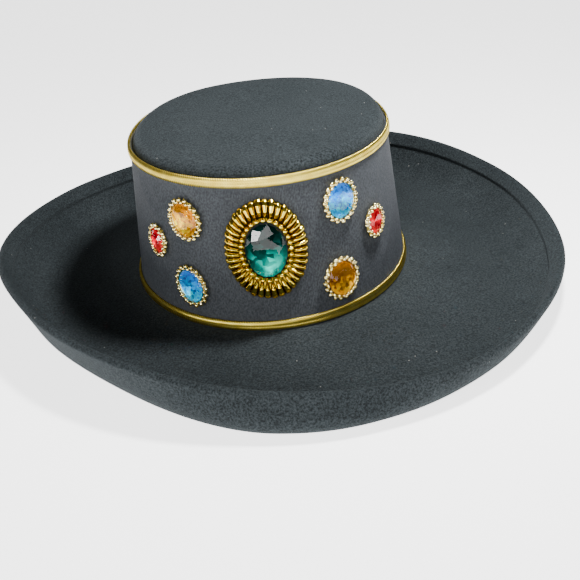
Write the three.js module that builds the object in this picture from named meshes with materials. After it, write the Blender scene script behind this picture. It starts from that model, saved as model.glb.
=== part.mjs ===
// Wide-brim felt hat: a flat-topped oval crown, an upturned brim, and a ribbon band with jewelled ornaments.
// Millimetres, +Z up. The front faces -Y. The origin is in the middle of the plan, on the plane that the
// brim rests on.
// Heights in the sections below start at the brim's upper face where it meets the crown.
import * as THREE from 'three';
import { ConvexGeometry } from 'three/addons/geometries/ConvexGeometry.js';

// Felt
const FELT_WALL = 2.2;
const HEM_FOLD = 2.2;
const HEM_WIDTH = 10;
const HEM_STEP = 0.6;

// Crown, outside
const CROWN_BASE_WIDTH = 170.4;
const CROWN_BASE_DEPTH = 205.6;
const CROWN_TOP_WIDTH = 155.4;
const CROWN_TOP_DEPTH = 187.8;
const CROWN_HEIGHT = 96;
const CROWN_DOME = 1.2;
// The top stands this much higher on the +X side and lower on the other.
const CROWN_TOP_RISE = 1.2;
// How much fuller than an ellipse the plan is at its two back corners, as heads are.
const CROWN_BACK_FULLNESS = 0.03;
const SHOULDER_RADIUS = 6.5;
const CROWN_LEAN = new THREE.Vector2(-2.2, 1);
const CROWN_FOOT_RADIUS = 2.6;

// Brim, to the middle of the felt
const BRIM_WIDTH = 366;
const BRIM_DEPTH = 392;
const LIP_HEIGHT = 25;
const BRIM_DIP = 9.5;
const BEND_LENGTH = 16;
const REST_WIDTH = 3;
// The flat brim sinks from the crown's foot to its lowest line. start and level are shares of its run,
// drop is how much of the sinking is done at the first of them.
const BRIM_SLOPE = { start: 0.35, drop: 0.55, level: 0.75 };

// Ribbon and braid
const FIT_GAP = 0.3;
const RIBBON_WALL = 1.2;
const RIBBON_START = 2;
const BRAID_HEIGHT = 5.8;
const BRAID_DEPTH = 1.6;
const UPPER_BRAID_LEVEL = 86.5;
const RIBBON_UNDER_BRAID = 1;

// Fineness of the round shapes, and where sections are taken, as shares of each stretch
const AROUND = 60;
const BRAID_ARC_STEPS = 4;
const TOP_STATIONS = [0.4, 0.8];
const SIDE_STATIONS = [0.67, 0.33];
const FLAT_STATIONS = [0.25, 0.5, 0.75];
const LIP_STATIONS = [0.16, 0.33, 0.5, 0.66, 0.83, 1];
const QUARTER_TURN = [0, 30, 60, 90];
const NEARBY = 0.001;

const COLOURS = {
  felt: 0x17181d,
  ribbon: 0x3d434f,
  braid: 0xc9a24a,
  gold: 0xd6ad55,
  emerald: 0x04514a,
  orange: 0xf09a1c,
  amber: 0xd9930f,
  blue: 0x1593d6,
  red: 0xb5142a,
};

// The brim's section, a row for each direction. Degrees run anticlockwise from +X, so the front is -90.
// flare is the rim's reach as a share of the plan oval, lip its height as a share of LIP_HEIGHT,
// and corner is where the flat brim turns up, as a share of the way from the crown's foot to the rim.
const BRIM_SECTIONS = [
  { degrees: -180, flare: 0.965, lip: 1.17, corner: 0.72 },
  { degrees: -150, flare: 0.92, lip: 1.27, corner: 0.82 },
  { degrees: -120, flare: 0.935, lip: 1.2, corner: 0.85 },
  { degrees: -90, flare: 0.977, lip: 0.88, corner: 1.1 },
  { degrees: -60, flare: 1.023, lip: 0.66, corner: 1 },
  { degrees: -30, flare: 1.016, lip: 0.72, corner: 0.86 },
  { degrees: 0, flare: 1.008, lip: 0.7, corner: 0.68 },
  { degrees: 30, flare: 1.03, lip: 0.88, corner: 0.76 },
  { degrees: 60, flare: 1.06, lip: 1.08, corner: 0.86 },
  { degrees: 90, flare: 1.02, lip: 1.08, corner: 0.88 },
  { degrees: 120, flare: 0.982, lip: 0.98, corner: 0.86 },
  { degrees: 150, flare: 0.98, lip: 1.04, corner: 0.78 },
];

// Ornaments on the ribbon. around is measured from the front towards +X, level above the brim,
// tilt anticlockwise as seen from outside. width and height are the setting's outside.
const CENTRE_ORNAMENT = { around: 0.5, level: 48.6, tilt: 0, width: 46, height: 58 };
const SMALL_ORNAMENTS = [
  { name: 'left_upper', around: -31, level: 63.8, tilt: 20, width: 22.5, height: 25, colour: 'orange' },
  { name: 'left_outer', around: -47.3, level: 45.8, tilt: 14, width: 17, height: 20, colour: 'red' },
  { name: 'left_lower', around: -31, level: 24.3, tilt: 22, width: 22, height: 25, colour: 'blue' },
  { name: 'right_upper', around: 31.8, level: 67.6, tilt: -16, width: 23.5, height: 25.5, colour: 'blue' },
  { name: 'right_outer', around: 48.5, level: 46.4, tilt: -14, width: 18.5, height: 20, colour: 'red' },
  { name: 'right_lower', around: 28.2, level: 23.2, tilt: -8, width: 24, height: 25.5, colour: 'amber' },
];

// A small setting is a ring of beads round a bezel. bump is how far a bead stands out of the ring.
const SMALL_RING = { width: 2.6, height: 3.4, bezel: 2.4, bump: 0.5, beadPitch: 3.8 };

// The centre setting: an inner ring of beads, then flutes that rise to a crest and fall to a scalloped edge.
// crestAt, shoulderAt and edgeAt are shares of the way from the beads to the outer edge.
const CENTRE_RING = {
  beadWidth: 2.6,
  beadTop: 4.6,
  bezel: 3.4,
  valley: 3.2,
  crest: 4.8,
  shoulder: 3.5,
  edge: 1.6,
  flutes: 40,
  fluteDepth: 0.6,
  crestAt: 0.38,
  shoulderAt: 0.75,
  edgeAt: 0.94,
};

// Cut stones. belt is the height of the straight sides, rise goes from the belt to the table.
// back, kite and table are the facet rings' sizes as shares of the belt, kiteRise a share of rise.
const SMALL_STONE = { belt: 0.8, rise: 2, back: 0.6, kite: 0.8, kiteRise: 0.65, table: 0.55, sides: 8 };
const CENTRE_STONE = {
  width: 23,
  height: 32,
  belt: 1.2,
  rise: 3.4,
  back: 0.6,
  kite: 0.79,
  kiteRise: 0.65,
  table: 0.52,
  sides: 12,
};

const degrees = THREE.MathUtils.degToRad;
const mix = THREE.MathUtils.lerp;

function felt() {
  return new THREE.MeshStandardMaterial({ color: COLOURS.felt, roughness: 0.95, metalness: 0 });
}

function ribbon() {
  return new THREE.MeshStandardMaterial({ color: COLOURS.ribbon, roughness: 0.7, metalness: 0 });
}

function metal(colour) {
  return new THREE.MeshStandardMaterial({ color: COLOURS[colour], roughness: 0.3, metalness: 1 });
}

function stone(colour) {
  return new THREE.MeshStandardMaterial({ color: COLOURS[colour], roughness: 0.05, metalness: 0 });
}

// A closed body from rings of points. Rings that loop close on themselves like a torus;
// otherwise the first and the last ring are closed by a point at their middle.
function bodyFromRings(rings, loops) {
  const count = rings[0].length;
  const points = rings.flat();
  const index = [];
  const last = rings.length - 1;
  for (let row = 0; row < (loops ? rings.length : last); row += 1) {
    const next = (row + 1) % rings.length;
    for (let column = 0; column < count; column += 1) {
      const side = (column + 1) % count;
      const corners = [row * count + column, row * count + side, next * count + side, next * count + column];
      index.push(corners[0], corners[1], corners[2], corners[0], corners[2], corners[3]);
    }
  }
  if (!loops) {
    for (const row of [0, last]) {
      const middle = points.length;
      points.push(middlePoint(rings[row]));
      for (let column = 0; column < count; column += 1) {
        const side = (column + 1) % count;
        const pair = [row * count + column, row * count + side];
        index.push(middle, ...(row === 0 ? pair.reverse() : pair));
      }
    }
  }
  return outwardGeometry(points, index);
}

function middlePoint(ring) {
  const sum = new THREE.Vector3();
  ring.forEach((point) => sum.add(point));
  return sum.divideScalar(ring.length);
}

// Turns the triangles round when the enclosed volume comes out negative.
function outwardGeometry(points, index) {
  let volume = 0;
  for (let corner = 0; corner < index.length; corner += 3) {
    const [a, b, c] = [points[index[corner]], points[index[corner + 1]], points[index[corner + 2]]];
    volume += a.dot(new THREE.Vector3().crossVectors(b, c));
  }
  if (volume < 0) {
    for (let corner = 0; corner < index.length; corner += 3) {
      [index[corner + 1], index[corner + 2]] = [index[corner + 2], index[corner + 1]];
    }
  }
  const geometry = new THREE.BufferGeometry().setFromPoints(points);
  geometry.setIndex(index);
  geometry.computeVertexNormals();
  return geometry;
}

// A smooth value between the rows of BRIM_SECTIONS, all the way round: a curve through the four nearest rows.
function sectionValue(column, angle) {
  const rows = BRIM_SECTIONS.length;
  const turned = THREE.MathUtils.euclideanModulo(angle + Math.PI, 2 * Math.PI);
  const place = (turned / (2 * Math.PI)) * rows;
  const row = Math.floor(place);
  const part = place - row;
  const valueOf = (step) => BRIM_SECTIONS[(row + step + rows) % rows][column];
  const [before, here, next, after] = [-1, 0, 1, 2].map(valueOf);
  const slope = next - before;
  const square = 2 * before - 5 * here + 4 * next - after;
  const cube = 3 * here - before - 3 * next + after;
  return (2 * here + slope * part + square * part ** 2 + cube * part ** 3) / 2;
}

function crownOutline(angle, halfWidth, halfDepth) {
  const corner = Math.sin(angle) > 0 ? Math.sin(2 * angle) ** 2 : 0;
  const full = 1 + CROWN_BACK_FULLNESS * corner;
  return new THREE.Vector2(halfWidth * Math.cos(angle), halfDepth * Math.sin(angle)).multiplyScalar(full);
}

// The crown's outer face at a height, moved out by an offset. The angle is the oval's own, from +X.
function crownPoint(angle, level, offset) {
  const share = level / CROWN_HEIGHT;
  const halfWidth = mix(CROWN_BASE_WIDTH, CROWN_TOP_WIDTH, share) / 2;
  const halfDepth = mix(CROWN_BASE_DEPTH, CROWN_TOP_DEPTH, share) / 2;
  const before = crownOutline(angle - NEARBY, halfWidth, halfDepth);
  const along = crownOutline(angle + NEARBY, halfWidth, halfDepth).sub(before).normalize();
  const outline = crownOutline(angle, halfWidth, halfDepth).addScaledVector(CROWN_LEAN, share);
  return new THREE.Vector3(outline.x + along.y * offset, outline.y - along.x * offset, level);
}

function rimPoint(angle) {
  const oval = 1 / Math.hypot(Math.cos(angle) / (BRIM_WIDTH / 2), Math.sin(angle) / (BRIM_DEPTH / 2));
  const reach = oval * sectionValue('flare', angle);
  const height = LIP_HEIGHT * sectionValue('lip', angle) - BRIM_DIP;
  return new THREE.Vector3(reach * Math.cos(angle), reach * Math.sin(angle), height);
}

// The brim's middle line in one direction, as points from the crown's foot to the rim.
// hem is a station's share of the folded hem: 0 on plain felt, 1 on the hem. level marks felt that lies flat.
function brimStations(angle) {
  const foot = crownPoint(angle, 0, CROWN_FOOT_RADIUS - FELT_WALL / 2).setZ(-FELT_WALL / 2);
  const rim = rimPoint(angle);
  const way = new THREE.Vector3(rim.x - foot.x, rim.y - foot.y, 0);
  const span = way.length();
  way.normalize();
  const at = (reach, height) => foot.clone().addScaledVector(way, reach).setZ(height);
  const low = -BRIM_DIP;
  const corner = span * sectionValue('corner', angle);
  const turn = corner - BEND_LENGTH;
  const flat = new THREE.CubicBezierCurve3(
    foot,
    at(turn * BRIM_SLOPE.start, mix(foot.z, low, BRIM_SLOPE.drop)),
    at(turn * BRIM_SLOPE.level, low),
    at(turn - REST_WIDTH, low),
  );
  const cornerPoint = at(corner, low);
  const wall = new THREE.LineCurve3(cornerPoint, rim);
  const wallLength = cornerPoint.distanceTo(rim);
  const bendEnd = wall.getPoint(BEND_LENGTH / wallLength);
  const bend = new THREE.QuadraticBezierCurve3(at(turn, low), cornerPoint, bendEnd);
  const stations = [];
  const add = (point, hem, level) => stations.push({ point, hem, level });
  FLAT_STATIONS.forEach((part) => add(flat.getPoint(part), 0, false));
  add(flat.getPoint(1), 0, true);
  add(bend.getPoint(0), 0, true);
  const edge = new THREE.CurvePath();
  edge.add(bend);
  edge.add(new THREE.LineCurve3(bendEnd, rim));
  const length = edge.getLength();
  const hemStart = 1 - HEM_WIDTH / length;
  LIP_STATIONS.forEach((part) => add(edge.getPointAt(hemStart * part), 0, false));
  add(edge.getPointAt(hemStart + HEM_STEP / length), 1, false);
  add(edge.getPointAt((1 + hemStart) / 2), 1, false);
  add(rim, 1, false);
  return stations;
}

// The crown's middle line in one direction, from near the top's middle down to the brim.
function crownStations(angle) {
  const half = FELT_WALL / 2;
  const radius = SHOULDER_RADIUS - half;
  const stations = [];
  const add = (point) => stations.push({ point, hem: 0, level: false });
  const top = CROWN_HEIGHT - CROWN_DOME - half + CROWN_TOP_RISE * Math.cos(angle);
  const shoulder = top - radius;
  const centre = crownPoint(0, CROWN_HEIGHT, 0).add(crownPoint(Math.PI, CROWN_HEIGHT, 0)).divideScalar(2);
  const edge = crownPoint(angle, top, -half - radius);
  const highest = CROWN_HEIGHT - half;
  TOP_STATIONS.forEach((share) => {
    const point = centre.clone().lerp(edge, share);
    add(point.setZ(mix(highest, top, share) + CROWN_DOME * (share - share ** 2)));
  });
  for (const turn of QUARTER_TURN.map(degrees).reverse()) {
    const level = shoulder + radius * Math.sin(turn);
    add(crownPoint(angle, level, -half - radius * (1 - Math.cos(turn))));
  }
  SIDE_STATIONS.forEach((share) => add(crownPoint(angle, mix(CROWN_FOOT_RADIUS, shoulder, share), -half)));
  for (const turn of QUARTER_TURN.map(degrees)) {
    const level = (CROWN_FOOT_RADIUS - half) - CROWN_FOOT_RADIUS * Math.sin(turn);
    const point = crownPoint(angle, Math.max(level, 0), -half + CROWN_FOOT_RADIUS * (1 - Math.cos(turn)));
    add(point.setZ(level));
  }
  return stations;
}

// Crown and brim are one piece of felt: a middle surface with the wall set off to both sides.
function feltBody() {
  const columns = [];
  for (let step = 0; step < AROUND; step += 1) {
    const angle = (2 * Math.PI * step) / AROUND;
    columns.push([...crownStations(angle), ...brimStations(angle)]);
  }
  const rows = columns[0].length;
  const faceAt = (step, row) => {
    const here = columns[step][row];
    if (here.level) return new THREE.Vector3(0, 0, 1);
    const column = columns[step];
    const along = column[Math.min(row + 1, rows - 1)].point.clone().sub(column[Math.max(row - 1, 0)].point);
    const next = columns[(step + 1) % AROUND][row].point;
    const previous = columns[(step + AROUND - 1) % AROUND][row].point;
    return along.cross(next.clone().sub(previous)).normalize();
  };
  const ring = (row, side, extra) => columns.map((column, step) => {
    const reach = side * (FELT_WALL / 2) + extra * column[row].hem;
    return column[row].point.clone().addScaledVector(faceAt(step, row), reach);
  });
  const outer = [];
  const inner = [];
  for (let row = 0; row < rows; row += 1) {
    outer.push(ring(row, 1, HEM_FOLD));
    inner.push(ring(row, -1, 0));
  }
  const edge = columns.map((column, step) => {
    const rim = column[rows - 1].point;
    const along = rim.clone().sub(column[rows - 2].point).normalize();
    const middle = rim.clone().addScaledVector(faceAt(step, rows - 1), HEM_FOLD / 2);
    return middle.addScaledVector(along, (FELT_WALL + HEM_FOLD) / 2);
  });
  return bodyFromRings([...outer, edge, ...inner.reverse()], false);
}

// A closed ring round the crown whose section is a list of heights and offsets from the crown's face.
function crownRing(section) {
  const rings = section.map(({ level, offset }) => {
    const ring = [];
    for (let step = 0; step < AROUND; step += 1) {
      ring.push(crownPoint((2 * Math.PI * step) / AROUND, level, offset));
    }
    return ring;
  });
  return bodyFromRings(rings, true);
}

const RIBBON_FACE = FIT_GAP + RIBBON_WALL;

function ribbonBand() {
  const top = UPPER_BRAID_LEVEL + RIBBON_UNDER_BRAID;
  return crownRing([
    { level: RIBBON_START, offset: FIT_GAP },
    { level: RIBBON_START, offset: RIBBON_FACE },
    { level: top, offset: RIBBON_FACE },
    { level: top, offset: FIT_GAP },
  ]);
}

// Half-round braid with its flat side on the ribbon.
function braid(level) {
  const section = [];
  for (let step = 0; step <= BRAID_ARC_STEPS; step += 1) {
    const turn = Math.PI * (step / BRAID_ARC_STEPS - 0.5);
    section.push({
      level: level + (BRAID_HEIGHT / 2) * Math.sin(turn),
      offset: RIBBON_FACE + FIT_GAP + BRAID_DEPTH * Math.cos(turn),
    });
  }
  return crownRing(section);
}

// Where an ornament sits: its point on the ribbon, its directions, and the ribbon's curve beside it.
function seatOf(ornament) {
  const angle = degrees(ornament.around - 90);
  const on = (turn, level) => crownPoint(turn, level, RIBBON_FACE);
  const origin = on(angle, ornament.level);
  const across = on(angle + NEARBY, ornament.level).sub(on(angle - NEARBY, ornament.level));
  const speed = across.length() / (2 * NEARBY);
  const up = on(angle, ornament.level + 1).sub(origin).normalize();
  across.normalize();
  const out = across.clone().cross(up).normalize();
  const tilt = degrees(ornament.tilt);
  const turned = (x, y) => [x * Math.cos(tilt) - y * Math.sin(tilt), x * Math.sin(tilt) + y * Math.cos(tilt)];
  // Bent onto the ribbon, for settings. The crown narrows upwards, so what stands out also rises a little.
  const bent = (x, y, rise) => {
    const [right, above] = turned(x, y);
    const level = ornament.level + above * up.z;
    const point = crownPoint(angle + right / speed, level, RIBBON_FACE + FIT_GAP + rise * up.z);
    return point.setZ(level + rise * out.z);
  };
  // Flat on the tangent plane, for stones.
  const flat = (x, y, rise) => {
    const [right, above] = turned(x, y);
    const point = origin.clone().addScaledVector(across, right).addScaledVector(up, above);
    return point.addScaledVector(out, FIT_GAP + rise);
  };
  return { bent, flat };
}

// An oval ring with its own height for each station of the section; the points follow the ribbon.
function settingBody(seat, samples, section) {
  const rings = section.map((station) => {
    const ring = [];
    for (let step = 0; step < samples; step += 1) {
      const angle = (2 * Math.PI * step) / samples;
      const bump = step % 2 === 0 ? 1 : 0;
      const halfWidth = station.halfWidth + (station.spread ?? 0) * bump;
      const halfHeight = station.halfHeight + (station.spread ?? 0) * bump;
      const rise = station.rise + (station.lift ?? 0) * bump;
      ring.push(seat.bent(halfWidth * Math.cos(angle), halfHeight * Math.sin(angle), rise));
    }
    return ring;
  });
  return bodyFromRings(rings, true);
}

// A cut stone: a belt of even sides, kite-shaped facets up to a flat table, and a flat back.
function stoneBody(seat, cut, halfWidth, halfHeight, start) {
  const oval = (share, rise, turn) => {
    const ring = [];
    for (let side = 0; side < cut.sides; side += 1) {
      const angle = (2 * Math.PI * (side + turn)) / cut.sides;
      ring.push(seat.flat(share * halfWidth * Math.cos(angle), share * halfHeight * Math.sin(angle), rise));
    }
    return ring;
  };
  const belt = start + cut.belt;
  const halfStep = 1 / 2;
  return new ConvexGeometry([
    ...oval(cut.back, start - cut.belt, 0),
    ...oval(1, start, 0),
    ...oval(1, belt, 0),
    ...oval(cut.kite, belt + cut.rise * cut.kiteRise, halfStep),
    ...oval(cut.table, belt + cut.rise, 0),
  ]);
}

function smallOrnament(ornament) {
  const seat = seatOf(ornament);
  const ring = SMALL_RING;
  const half = (inset) => ({
    halfWidth: ornament.width / 2 - inset,
    halfHeight: ornament.height / 2 - inset,
  });
  const section = [
    { ...half(ring.width), rise: 0 },
    { ...half(ring.bump * 2), rise: 0 },
    { ...half(ring.bump), spread: ring.bump, rise: ring.height / 2 },
    { ...half(ring.width / 2), rise: ring.height - ring.bump, lift: ring.bump },
    { ...half(ring.width), rise: ring.bezel },
  ];
  const beadLine = half(ring.width / 2);
  const beads = Math.round((Math.PI * (beadLine.halfWidth + beadLine.halfHeight)) / ring.beadPitch);
  const stoneHalf = half(ring.width + FIT_GAP);
  const start = ring.bezel - SMALL_STONE.belt;
  return [
    solid(`${ornament.name}_setting`, settingBody(seat, beads * 2, section), metal('gold')),
    solid(
      `${ornament.name}_stone`,
      stoneBody(seat, SMALL_STONE, stoneHalf.halfWidth, stoneHalf.halfHeight, start),
      stone(ornament.colour),
    ),
  ];
}

function centreOrnament() {
  const seat = seatOf(CENTRE_ORNAMENT);
  const ring = CENTRE_RING;
  const stoneWidth = CENTRE_STONE.width / 2;
  const stoneHeight = CENTRE_STONE.height / 2;
  const beside = (reach) => ({ halfWidth: stoneWidth + reach, halfHeight: stoneHeight + reach });
  const fluteStart = FIT_GAP + ring.beadWidth;
  // A share of the way from the beads' outer side to the setting's outer edge.
  const along = (share) => ({
    halfWidth: mix(stoneWidth + fluteStart, CENTRE_ORNAMENT.width / 2, share),
    halfHeight: mix(stoneHeight + fluteStart, CENTRE_ORNAMENT.height / 2, share),
  });
  const flute = ring.fluteDepth;
  const section = [
    { ...beside(FIT_GAP), rise: 0 },
    { ...along(ring.edgeAt), rise: 0 },
    { ...along(ring.edgeAt), spread: flute, rise: ring.edge - flute, lift: flute },
    { ...along(ring.shoulderAt), rise: ring.shoulder, lift: flute },
    { ...along(ring.crestAt), rise: ring.crest - flute, lift: flute },
    { ...along(0), rise: ring.valley },
    { ...beside(FIT_GAP + ring.beadWidth / 2), rise: ring.beadTop - flute, lift: flute },
    { ...beside(FIT_GAP), rise: ring.bezel },
  ];
  const start = ring.bezel - CENTRE_STONE.belt;
  return [
    solid('centre_setting', settingBody(seat, ring.flutes * 2, section), metal('gold')),
    solid('centre_stone', stoneBody(seat, CENTRE_STONE, stoneWidth, stoneHeight, start), stone('emerald')),
  ];
}

function solid(name, geometry, material) {
  const mesh = new THREE.Mesh(geometry, material);
  mesh.name = name;
  return mesh;
}

const hat = new THREE.Group();
hat.add(solid('felt_body', feltBody(), felt()));
hat.add(solid('hat_band', ribbonBand(), ribbon()));
hat.add(solid('lower_trim', braid(FIT_GAP + BRAID_HEIGHT / 2), metal('braid')));
hat.add(solid('upper_trim', braid(UPPER_BRAID_LEVEL), metal('braid')));
hat.add(...centreOrnament());
SMALL_ORNAMENTS.forEach((ornament) => hat.add(...smallOrnament(ornament)));

// The origin goes to the middle of the plan, on the plane that the brim rests on.
const extent = new THREE.Box3().setFromObject(hat);
const middle = extent.getCenter(new THREE.Vector3());
hat.position.set(-middle.x, -middle.y, -extent.min.z);

export default hat;
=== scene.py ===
# %% [markdown]
# A wide-brim felt hat with a jewelled band
#
# The hat is one blocked piece of black wool felt. A ribbed ribbon covers the side of its crown, a gold braid is
# sewn over each edge of the ribbon, and seven cut stones in beaded gold settings sit on it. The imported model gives
# the true sizes and places. This script dresses it: each piece of the model is replaced by a finer one that
# sits in the same place.

# %% The frame
import math

import bmesh
import bpy
import numpy as np
from mathutils import Euler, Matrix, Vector, noise


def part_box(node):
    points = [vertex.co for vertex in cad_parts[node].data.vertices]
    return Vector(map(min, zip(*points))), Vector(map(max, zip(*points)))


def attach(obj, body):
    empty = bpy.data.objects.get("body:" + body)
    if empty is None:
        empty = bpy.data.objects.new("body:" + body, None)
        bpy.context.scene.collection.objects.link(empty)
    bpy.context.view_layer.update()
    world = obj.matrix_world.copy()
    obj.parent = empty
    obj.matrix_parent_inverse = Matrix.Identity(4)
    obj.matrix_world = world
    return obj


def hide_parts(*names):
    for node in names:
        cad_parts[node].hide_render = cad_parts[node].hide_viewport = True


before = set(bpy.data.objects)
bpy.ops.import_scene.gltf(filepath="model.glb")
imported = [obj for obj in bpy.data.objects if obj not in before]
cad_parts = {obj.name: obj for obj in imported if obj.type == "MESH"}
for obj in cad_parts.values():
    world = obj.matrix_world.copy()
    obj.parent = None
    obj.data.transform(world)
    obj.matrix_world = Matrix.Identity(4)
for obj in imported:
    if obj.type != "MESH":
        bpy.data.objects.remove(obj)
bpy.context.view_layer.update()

print("pieces in the frame:", sorted(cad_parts))

# %% [markdown]
# Sizes
#
# A hatter works from the block: an oval for the crown, its height, and the width and lip of the brim. The same
# few sizes shape the model, so they are repeated here, in millimetres. The place of the crown comes from the
# frame: the lower braid lies round the crown's foot, so the middle of its box is the middle of the crown.

# %% The hat's sizes
MM = 0.001
FELT_WALL = 2.2
HEM_FOLD = 2.2
HEM_WIDTH = 10.0
HEM_STEP = 2.2
CROWN_BASE = (170.4, 205.6)
CROWN_TOP = (155.4, 187.8)
CROWN_HEIGHT = 96.0
CROWN_DOME = 1.2
CROWN_TOP_RISE = 1.2
CROWN_BACK_FULLNESS = 0.03
SHOULDER_RADIUS = 6.5
CROWN_LEAN = (-2.2, 1.0)
CROWN_FOOT_RADIUS = 2.6
BRIM_PLAN = (366.0, 392.0)
LIP_HEIGHT = 25.0
BRIM_DIP = 9.5
BEND_LENGTH = 16.0
REST_WIDTH = 3.0
FIT_GAP = 0.3
RIBBON_WALL = 1.2
RIBBON_START = 2.0
RIBBON_FACE = FIT_GAP + RIBBON_WALL
BRAID_HEIGHT = 5.8
BRAID_DEPTH = 1.6
UPPER_BRAID_LEVEL = 86.5
LOWER_BRAID_LEVEL = FIT_GAP + BRAID_HEIGHT / 2
RIBBON_TOP = UPPER_BRAID_LEVEL + 1.0

trim_low, trim_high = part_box("lower_trim")
lean_share = LOWER_BRAID_LEVEL / CROWN_HEIGHT
foot = np.array([
    (trim_low.x + trim_high.x) / 2 / MM - CROWN_LEAN[0] * lean_share,
    (trim_low.y + trim_high.y) / 2 / MM - CROWN_LEAN[1] * lean_share,
    trim_low.z / MM - FIT_GAP,
])
print("middle of the crown's foot, on the brim's upper face, mm:", np.round(foot, 2))

# %% [markdown]
# The shape of the crown and brim
#
# Felt takes any smooth shape, so the hat is described by a middle surface and a wall. The crown is an oval that
# narrows upwards. The brim is described in twelve directions by how far it reaches, how high its lip stands and
# where it turns up; a smooth curve runs between them. All heights start at the brim's upper face by the crown.

# %% Crown and brim formulas
# Degrees from +X, the front is -90. Shares of the plan oval, of LIP_HEIGHT, and of the way out to the rim.
BRIM_SECTIONS = {
    "flare": (0.965, 0.92, 0.935, 0.977, 1.023, 1.016, 1.008, 1.03, 1.06, 1.02, 0.982, 0.98),
    "lip": (1.17, 1.27, 1.2, 0.88, 0.66, 0.72, 0.7, 0.88, 1.08, 1.08, 0.98, 1.04),
    "corner": (0.72, 0.82, 0.85, 1.1, 1.0, 0.86, 0.68, 0.76, 0.86, 0.88, 0.86, 0.78),
}


def mix(start, end, share):
    return start + (end - start) * share


def section_value(column, angle):
    """A smooth curve through the table's rows, which start at -180 degrees."""
    values = np.array(BRIM_SECTIONS[column])
    place = ((angle + np.pi) % (2 * np.pi)) / (2 * np.pi) * len(values)
    row = np.floor(place).astype(int)
    part = place - row
    before, here, after, beyond = (values[(row + step) % len(values)] for step in (-1, 0, 1, 2))
    square = 2 * before - 5 * here + 4 * after - beyond
    cube = 3 * here - before - 3 * after + beyond
    return (2 * here + (after - before) * part + square * part ** 2 + cube * part ** 3) / 2


def crown_outline(angle, half_width, half_depth):
    corner = np.where(np.sin(angle) > 0, np.sin(2 * angle) ** 2, 0.0)
    full = 1 + CROWN_BACK_FULLNESS * corner
    return half_width * np.cos(angle) * full, half_depth * np.sin(angle) * full


def crown_point(angle, level, offset):
    """Points on the crown's side at a height, moved out of it by an offset."""
    angle, level, offset = np.broadcast_arrays(np.asarray(angle, float), level, offset)
    share = level / CROWN_HEIGHT
    half_width = mix(CROWN_BASE[0], CROWN_TOP[0], share) / 2
    half_depth = mix(CROWN_BASE[1], CROWN_TOP[1], share) / 2
    x, y = crown_outline(angle, half_width, half_depth)
    nearby = 0.001
    x_on, y_on = crown_outline(angle + nearby, half_width, half_depth)
    x_back, y_back = crown_outline(angle - nearby, half_width, half_depth)
    length = np.hypot(x_on - x_back, y_on - y_back)
    out_x, out_y = (y_on - y_back) / length, (x_back - x_on) / length
    return np.stack([
        x + CROWN_LEAN[0] * share + out_x * offset,
        y + CROWN_LEAN[1] * share + out_y * offset,
        level + 0 * x,
    ], axis=-1)


def rim_point(angle):
    oval = 1 / np.hypot(np.cos(angle) / (BRIM_PLAN[0] / 2), np.sin(angle) / (BRIM_PLAN[1] / 2))
    reach = oval * section_value("flare", angle)
    height = LIP_HEIGHT * section_value("lip", angle) - BRIM_DIP
    return np.stack([reach * np.cos(angle), reach * np.sin(angle), height], axis=-1)


def curve_point(corners, share):
    """A point on the smooth curve that a few corner points pull along."""
    while len(corners) > 1:
        corners = [mix(start, end, share) for start, end in zip(corners, corners[1:])]
    return corners[0]


# %% [markdown]
# Pieces that go all the way round
#
# Almost every piece of a hat goes all the way round. A spin would make such rings too, but it slows down when there
# are thousands of steps, as the ribbon's ribs need. So a flat grid is made instead and wrapped round, as cloth is
# eased onto a block: each column of the grid is a direction and each row is a point of the section.

# %% Helpers for pieces that go round
def wrap_grid(table, closed, shade=None):
    """Wraps a grid onto the points in table, rings by steps, in mm. A closed section joins its last ring to its first.

    shade says how deep each point lies between threads or petals, from 0 to 1, and is kept for the material."""
    rings, steps = table.shape[:2]
    rows = rings if closed else rings - 1
    bm = bmesh.new()
    bmesh.ops.create_grid(bm, x_segments=steps, y_segments=rows, size=1.0)
    place = (np.array([vert.co for vert in bm.verts]) + 1) / 2
    column = np.rint(place[:, 0] * steps).astype(int) % steps
    row = np.rint(place[:, 1] * rows).astype(int) % rings
    for vert, point in zip(bm.verts, table[row, column]):
        vert.co = point
    # The gold materials darken points by this value, as painted shade in the gaps.
    if shade is not None:
        layer = bm.verts.layers.float.new("shade")
        for vert, value in zip(bm.verts, shade[row, column]):
            vert[layer] = value
    return bm


def put_on_hat(bm, name, nodes=(), smooth=True, sharp_degrees=None):
    """Closes doubles, turns faces outwards and places a piece made in millimetres round the crown's foot."""
    bmesh.ops.remove_doubles(bm, verts=bm.verts, dist=0.002)
    bmesh.ops.recalc_face_normals(bm, faces=bm.faces)
    for vert in bm.verts:
        vert.co = (Vector(vert.co) + Vector(foot)) * MM
    mesh = bpy.data.meshes.new(name)
    bm.to_mesh(mesh)
    bm.free()
    for polygon in mesh.polygons:
        polygon.use_smooth = smooth
    if sharp_degrees:
        mesh.set_sharp_from_angle(angle=math.radians(sharp_degrees))
    piece = bpy.data.objects.new(name, mesh)
    bpy.context.scene.collection.objects.link(piece)
    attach(piece, "root")
    if nodes:
        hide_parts(*nodes)
    triangles = sum(len(polygon.vertices) - 2 for polygon in mesh.polygons)
    print(f"{name}: {triangles} triangles")
    return piece


def around(steps):
    return np.arange(steps) * 2 * np.pi / steps


# %% [markdown]
# Felt body
#
# The real hat is blocked from one felt hood with steam, and its edge is folded over and pressed as a hem. The
# middle surface is laid out from the top of the crown to the rim, then the wall is set off to both sides
# along its normals, with the fold's extra layer inside the lip. Long soft waves keep it from looking turned.

# %% The felt's middle surface
AROUND_FELT = 288
felt_angles = around(AROUND_FELT)
HALF_WALL = FELT_WALL / 2


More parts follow.
